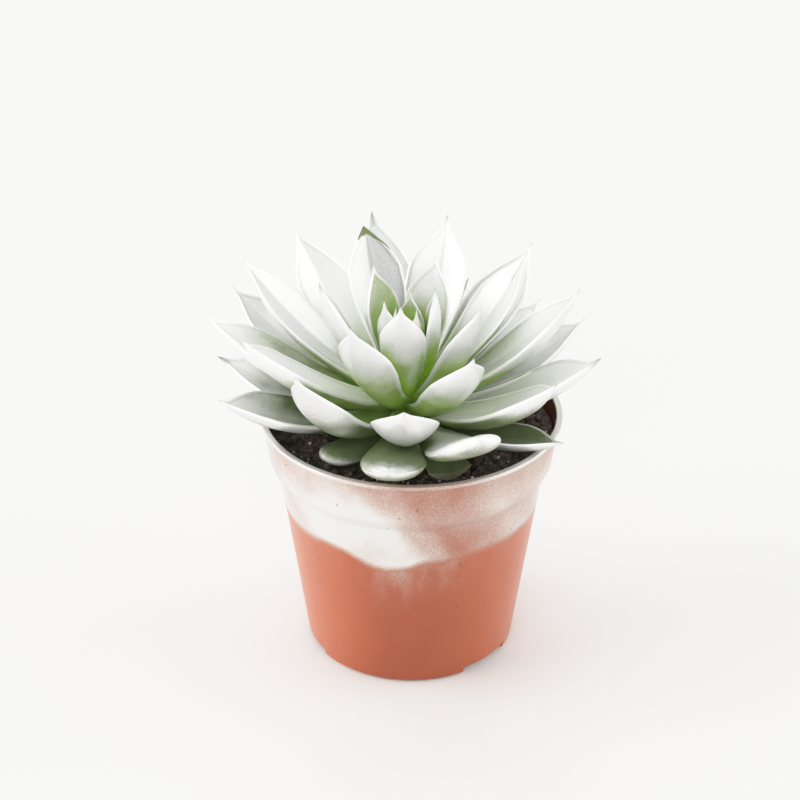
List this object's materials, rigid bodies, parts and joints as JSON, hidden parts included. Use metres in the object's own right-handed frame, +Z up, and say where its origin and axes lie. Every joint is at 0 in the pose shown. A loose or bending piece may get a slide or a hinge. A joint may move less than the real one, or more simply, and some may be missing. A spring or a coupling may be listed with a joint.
{
  "type": "potted succulent",
  "caption": "Rosette succulent with thick pointed silver-sprayed leaves, growing in dark peat in a round tapered plastic nursery pot.",
  "frame": {"origin": "centre of the pot's flat underside, on the pot's axis", "axes": "+Z up along the pot's axis, -Y towards the front of the plant, +X to the right seen from the front"},
  "size_m": [0.1287, 0.1325, 0.1468],
  "materials": {
    "pot_plastic": "terracotta-coloured moulded polypropylene, satin, with a fine silver paint mist on the collar",
    "peat": "dark crumbly moist peat with pale grit",
    "silvered_leaf": "thick smooth succulent leaf sprayed with satin silver paint, green at its base"
  },
  "bodies": {
    "root": {"pot": "pot_plastic", "soil": "peat", "rosette": "silvered_leaf"}
  },
  "joints": []
}
